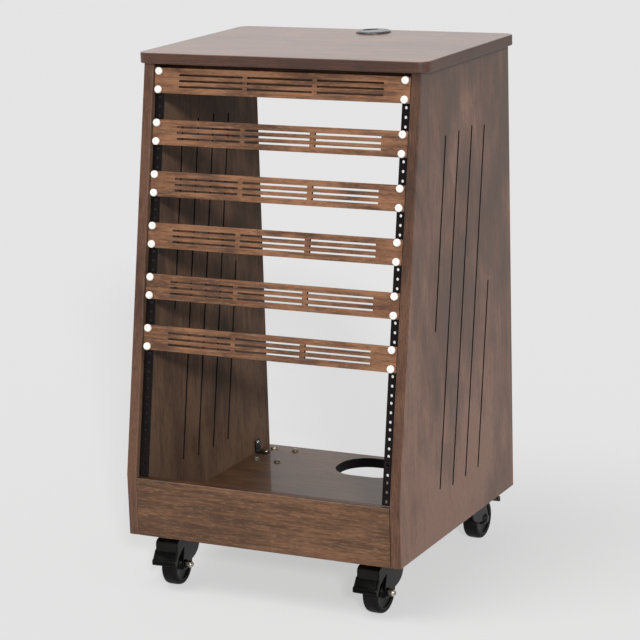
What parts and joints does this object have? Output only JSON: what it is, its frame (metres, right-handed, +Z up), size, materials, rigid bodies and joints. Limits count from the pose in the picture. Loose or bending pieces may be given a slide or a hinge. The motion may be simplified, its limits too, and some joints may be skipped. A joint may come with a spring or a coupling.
{
  "type": "studio rack stand",
  "caption": "Rolling studio rack stand: slotted wooden cabinet, drilled rails that lean back, wooden vent panels held by cup washers, cable grommet, swivel casters with brakes.",
  "frame": {"origin": "bottom centre of the whole stand's box, on the floor under the wheels", "axes": "+X to the stand's right seen from its front, +Y to its back, +Z up; the rack front faces -Y and leans back by 10.1 degrees"},
  "size_m": [0.546, 0.5348, 0.9359],
  "materials": {
    "side_wood": "satin stained plywood",
    "front_wood": "satin stained plywood, warm brown",
    "top_wood": "satin lacquered plywood top",
    "vent_wood": "satin wood, warm light brown",
    "rail_steel": "satin black powder coat",
    "screw_cup": "white nylon cup washer with its screw",
    "grommet_plastic": "dark brown-black moulded plastic",
    "brace_steel": "black painted steel",
    "caster_steel": "satin black enamel",
    "pedal_plastic": "black moulded plastic",
    "wheel_rubber": "black rubber tread and hub"
  },
  "bodies": {
    "cabinet": {"side_panel_left": "side_wood", "side_panel_right": "side_wood", "top_board": "top_wood", "base_board": "side_wood", "front_plinth": "front_wood", "top_stretcher": "front_wood", "rack_rail_left": "rail_steel", "rack_rail_right": "rail_steel", "vent_panel_1": "vent_wood", "vent_panel_2": "vent_wood", "vent_panel_3": "vent_wood", "vent_panel_4": "vent_wood", "vent_panel_5": "vent_wood", "vent_panel_6": "vent_wood", "rack_screw_1_upper_left": "screw_cup", "rack_screw_1_upper_right": "screw_cup", "rack_screw_1_lower_left": "screw_cup", "rack_screw_1_lower_right": "screw_cup", "rack_screw_2_upper_left": "screw_cup", "rack_screw_2_upper_right": "screw_cup", "rack_screw_2_lower_left": "screw_cup", "rack_screw_2_lower_right": "screw_cup", "rack_screw_3_upper_left": "screw_cup", "rack_screw_3_upper_right": "screw_cup", "rack_screw_3_lower_left": "screw_cup", "rack_screw_3_lower_right": "screw_cup", "rack_screw_4_upper_left": "screw_cup", "rack_screw_4_upper_right": "screw_cup", "rack_screw_4_lower_left": "screw_cup", "rack_screw_4_lower_right": "screw_cup", "rack_screw_5_upper_left": "screw_cup", "rack_screw_5_upper_right": "screw_cup", "rack_screw_5_lower_left": "screw_cup", "rack_screw_5_lower_right": "screw_cup", "rack_screw_6_upper_left": "screw_cup", "rack_screw_6_upper_right": "screw_cup", "rack_screw_6_lower_left": "screw_cup", "rack_screw_6_lower_right": "screw_cup", "grommet_ring": "grommet_plastic", "corner_brace_left": "brace_steel", "corner_brace_right": "brace_steel", "caster_plate_front_left": "caster_steel", "caster_plate_front_right": "caster_steel", "caster_plate_rear_left": "caster_steel", "caster_plate_rear_right": "caster_steel"},
    "grommet_cap": {"grommet_cap": "grommet_plastic"},
    "caster_fork_front_left": {"caster_fork_front_left": "caster_steel"},
    "caster_wheel_front_left": {"caster_wheel_front_left": "wheel_rubber"},
    "brake_pedal_front_left": {"brake_pedal_front_left": "pedal_plastic"},
    "caster_fork_front_right": {"caster_fork_front_right": "caster_steel"},
    "caster_wheel_front_right": {"caster_wheel_front_right": "wheel_rubber"},
    "brake_pedal_front_right": {"brake_pedal_front_right": "pedal_plastic"},
    "caster_fork_rear_left": {"caster_fork_rear_left": "caster_steel"},
    "caster_wheel_rear_left": {"caster_wheel_rear_left": "wheel_rubber"},
    "brake_pedal_rear_left": {"brake_pedal_rear_left": "pedal_plastic"},
    "caster_fork_rear_right": {"caster_fork_rear_right": "caster_steel"},
    "caster_wheel_rear_right": {"caster_wheel_rear_right": "wheel_rubber"},
    "brake_pedal_rear_right": {"brake_pedal_rear_right": "pedal_plastic"}
  },
  "joints": [
    {"name": "caster_swivel_front_left", "type": "hinge", "parent": "cabinet", "child": "caster_fork_front_left", "pos_m": [-0.199, -0.17991, 0.0931], "axis": [0, 0, 1], "continuous": true},
    {"name": "wheel_spin_front_left", "type": "hinge", "parent": "caster_fork_front_left", "child": "caster_wheel_front_left", "pos_m": [-0.19656, -0.21482, 0.0375], "axis": [0.9976, 0.0698, 0], "continuous": true},
    {"name": "brake_release_front_left", "type": "hinge", "parent": "caster_fork_front_left", "child": "brake_pedal_front_left", "pos_m": [-0.19719, -0.20584, 0.083], "axis": [-0.9976, -0.0698, 0], "range_deg": [0, 12]},
    {"name": "caster_swivel_front_right", "type": "hinge", "parent": "cabinet", "child": "caster_fork_front_right", "pos_m": [0.199, -0.17991, 0.0931], "axis": [0, 0, 1], "continuous": true},
    {"name": "wheel_spin_front_right", "type": "hinge", "parent": "caster_fork_front_right", "child": "caster_wheel_front_right", "pos_m": [0.19747, -0.21487, 0.0375], "axis": [0.999, -0.0436, 0], "continuous": true},
    {"name": "brake_release_front_right", "type": "hinge", "parent": "caster_fork_front_right", "child": "brake_pedal_front_right", "pos_m": [0.19787, -0.20588, 0.083], "axis": [-0.999, 0.0436, 0], "range_deg": [0, 12]},
    {"name": "caster_swivel_rear_left", "type": "hinge", "parent": "cabinet", "child": "caster_fork_rear_left", "pos_m": [-0.199, 0.17709, 0.0931], "axis": [0, 0, 1], "continuous": true},
    {"name": "wheel_spin_rear_left", "type": "hinge", "parent": "caster_fork_rear_left", "child": "caster_wheel_rear_left", "pos_m": [-0.20083, 0.21205, 0.0375], "axis": [-0.9986, -0.0523, 0], "continuous": true},
    {"name": "brake_release_rear_left", "type": "hinge", "parent": "caster_fork_rear_left", "child": "brake_pedal_rear_left", "pos_m": [-0.20036, 0.20306, 0.083], "axis": [0.9986, 0.0523, 0], "range_deg": [0, 12]},
    {"name": "caster_swivel_rear_right", "type": "hinge", "parent": "cabinet", "child": "caster_fork_rear_right", "pos_m": [0.199, 0.17709, 0.0931], "axis": [0, 0, 1], "continuous": true},
    {"name": "wheel_spin_rear_right", "type": "hinge", "parent": "caster_fork_rear_right", "child": "caster_wheel_rear_right", "pos_m": [0.19961, 0.21209, 0.0375], "axis": [-0.9998, 0.0175, 0], "continuous": true},
    {"name": "brake_release_rear_right", "type": "hinge", "parent": "caster_fork_rear_right", "child": "brake_pedal_rear_right", "pos_m": [0.19945, 0.20309, 0.083], "axis": [0.9998, -0.0175, 0], "range_deg": [-8, 4]},
    {"name": "grommet_cap_turn", "type": "hinge", "parent": "cabinet", "child": "grommet_cap", "pos_m": [0.014, 0.20809, 0.93241], "axis": [0, 0, 1], "continuous": true}
  ]
}
